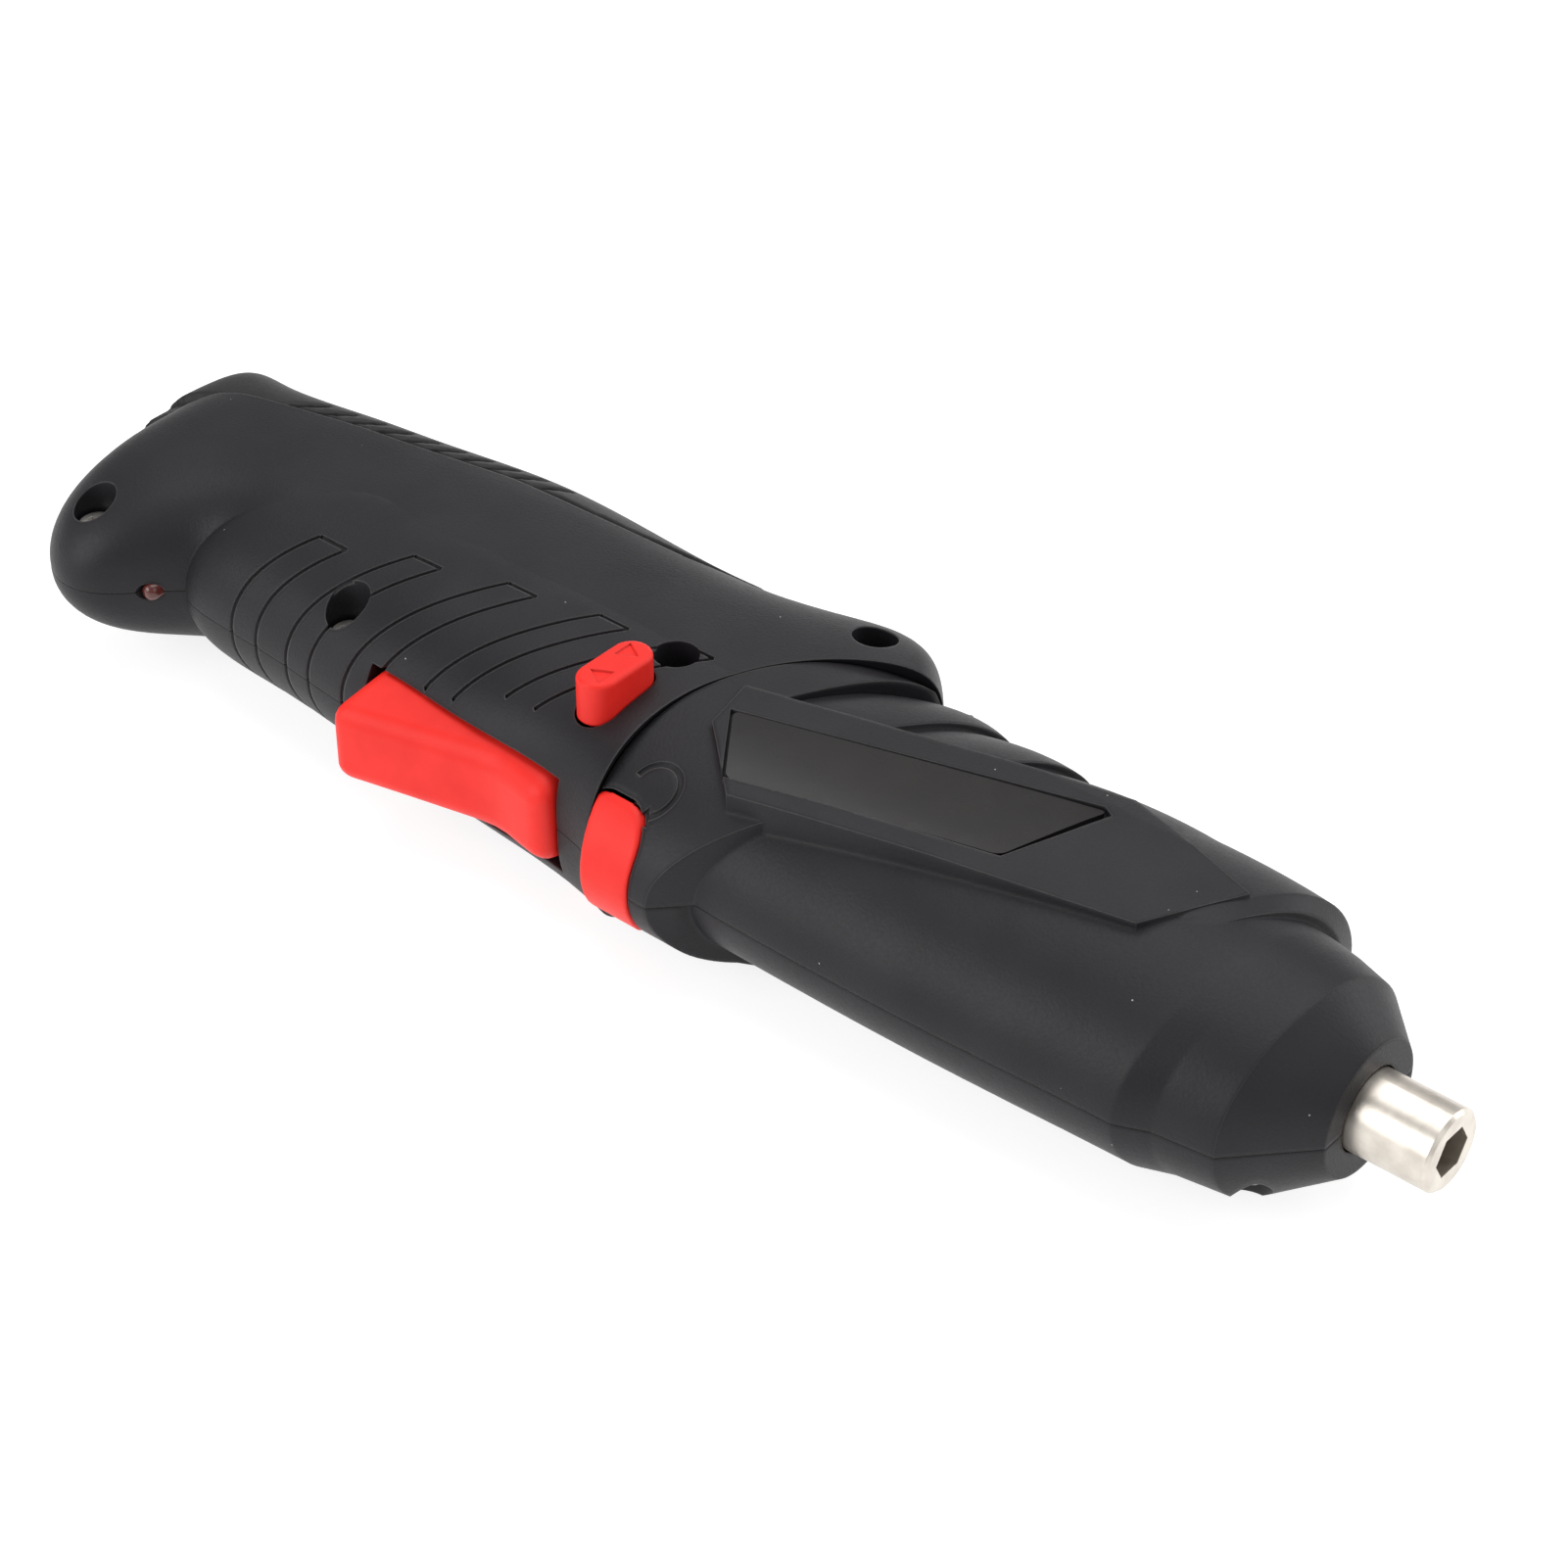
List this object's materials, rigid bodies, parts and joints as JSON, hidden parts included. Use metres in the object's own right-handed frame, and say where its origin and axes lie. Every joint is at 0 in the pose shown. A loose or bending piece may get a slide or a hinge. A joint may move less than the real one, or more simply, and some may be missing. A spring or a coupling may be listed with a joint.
{
  "type": "electric screwdriver",
  "caption": "Cordless electric screwdriver with a folding handle, side trigger, direction selector, fold lock button and a hex bit holder driven through a planetary gearbox.",
  "frame": {"origin": "on the flat rest face under the barrel, straight below the spindle axis and 80 mm behind the bit tip", "axes": "+X along the spindle towards the bit, -Y the side of the trigger and lock button, +Z square to the parting plane, up from the surface the tool lies on"},
  "size_m": [0.243, 0.0628, 0.0391],
  "materials": {
    "shell_black": "fine moulded texture",
    "pad_black": "matt",
    "signal_red": "satin",
    "label_black": "glossy",
    "nickel": "satin nickel",
    "steel": "bright zinc",
    "cell_wrap": "wrapped cell",
    "board_green": "solder mask",
    "lamp_red": "clear",
    "switch_black": "plain",
    "jack_black": "plain",
    "nylon": "plain",
    "magnet_grey": "plain",
    "brass": "plain"
  },
  "bodies": {
    "handle": {"handle_upper_shell": "shell_black", "handle_lower_shell": "shell_black", "back_pad": "pad_black", "handle_screws": "steel", "battery_cell": "cell_wrap", "battery_rear_tab": "steel", "battery_front_tab": "steel", "charge_board": "board_green", "charge_led": "lamp_red", "charge_jack": "jack_black", "switch_body": "switch_black", "trigger_spring": "steel"},
    "trigger": {"trigger": "signal_red", "switch_plunger": "nylon"},
    "selector": {"direction_selector": "signal_red"},
    "barrel": {"barrel_upper_shell": "shell_black", "barrel_lower_shell": "shell_black", "barrel_screws": "steel", "label_window": "label_black", "pivot_pin": "steel", "lock_spring": "steel", "motor_can": "steel", "motor_magnets": "magnet_grey", "motor_end_cap": "switch_black", "gear_case": "nylon", "nose_bush": "brass"},
    "lock": {"lock_button": "signal_red"},
    "rotor": {"motor_rotor": "steel", "motor_pinion": "brass"},
    "first_stage": {"first_carrier": "steel"},
    "output": {"output_carrier": "steel", "bit_holder": "nickel", "bit_magnet": "magnet_grey", "retaining_clip": "steel"},
    "first_planet_1": {"first_planet_1": "nylon"},
    "second_planet_1": {"second_planet_1": "steel"},
    "first_planet_2": {"first_planet_2": "nylon"},
    "second_planet_2": {"second_planet_2": "steel"},
    "first_planet_3": {"first_planet_3": "nylon"},
    "second_planet_3": {"second_planet_3": "steel"}
  },
  "joints": [
    {"name": "barrel_fold", "type": "hinge", "parent": "handle", "child": "barrel", "pos_m": [-0.0095, -0.012, 0.0175], "axis": [0, 0, -1], "range_deg": [0, 70]},
    {"name": "trigger_press", "type": "slide", "parent": "handle", "child": "trigger", "axis": [0, 1, 0], "range_m": [0, 0.0035], "stiffness_N_per_m": 600, "springref_m": -0.003, "deforming": ["trigger_spring"]},
    {"name": "selector_slide", "type": "slide", "parent": "handle", "child": "selector", "axis": [0, 0, -1], "range_m": [0, 0.005]},
    {"name": "lock_press", "type": "slide", "parent": "barrel", "child": "lock", "axis": [0, 1, 0], "range_m": [0, 0.0025], "stiffness_N_per_m": 500, "springref_m": -0.002, "deforming": ["lock_spring"]},
    {"name": "motor_spin", "type": "hinge", "parent": "barrel", "child": "rotor", "pos_m": [0, 0, 0.0175], "axis": [1, 0, 0], "continuous": true},
    {"name": "first_stage_spin", "type": "hinge", "parent": "barrel", "child": "first_stage", "pos_m": [0, 0, 0.0175], "axis": [1, 0, 0], "continuous": true},
    {"name": "bit_spin", "type": "hinge", "parent": "barrel", "child": "output", "pos_m": [0, 0, 0.0175], "axis": [1, 0, 0], "continuous": true},
    {"name": "first_planet_1_spin", "type": "hinge", "parent": "first_stage", "child": "first_planet_1", "pos_m": [0, 0.00675, 0.0175], "axis": [1, 0, 0], "continuous": true},
    {"name": "second_planet_1_spin", "type": "hinge", "parent": "output", "child": "second_planet_1", "pos_m": [0, 0.00675, 0.0175], "axis": [1, 0, 0], "continuous": true},
    {"name": "first_planet_2_spin", "type": "hinge", "parent": "first_stage", "child": "first_planet_2", "pos_m": [0, -0.00337, 0.02335], "axis": [1, 0, 0], "continuous": true},
    {"name": "second_planet_2_spin", "type": "hinge", "parent": "output", "child": "second_planet_2", "pos_m": [0, -0.00337, 0.02335], "axis": [1, 0, 0], "continuous": true},
    {"name": "first_planet_3_spin", "type": "hinge", "parent": "first_stage", "child": "first_planet_3", "pos_m": [0, -0.00337, 0.01165], "axis": [1, 0, 0], "continuous": true},
    {"name": "second_planet_3_spin", "type": "hinge", "parent": "output", "child": "second_planet_3", "pos_m": [0, -0.00337, 0.01165], "axis": [1, 0, 0], "continuous": true}
  ],
  "couplings": [
    {"joint": "first_stage_spin", "follows": "motor_spin", "ratio": 0.2},
    {"joint": "bit_spin", "follows": "motor_spin", "ratio": 0.04},
    {"joint": "first_planet_1_spin", "follows": "motor_spin", "ratio": -0.53333},
    {"joint": "second_planet_1_spin", "follows": "motor_spin", "ratio": -0.10667},
    {"joint": "first_planet_2_spin", "follows": "motor_spin", "ratio": -0.53333},
    {"joint": "second_planet_2_spin", "follows": "motor_spin", "ratio": -0.10667},
    {"joint": "first_planet_3_spin", "follows": "motor_spin", "ratio": -0.53333},
    {"joint": "second_planet_3_spin", "follows": "motor_spin", "ratio": -0.10667}
  ]
}
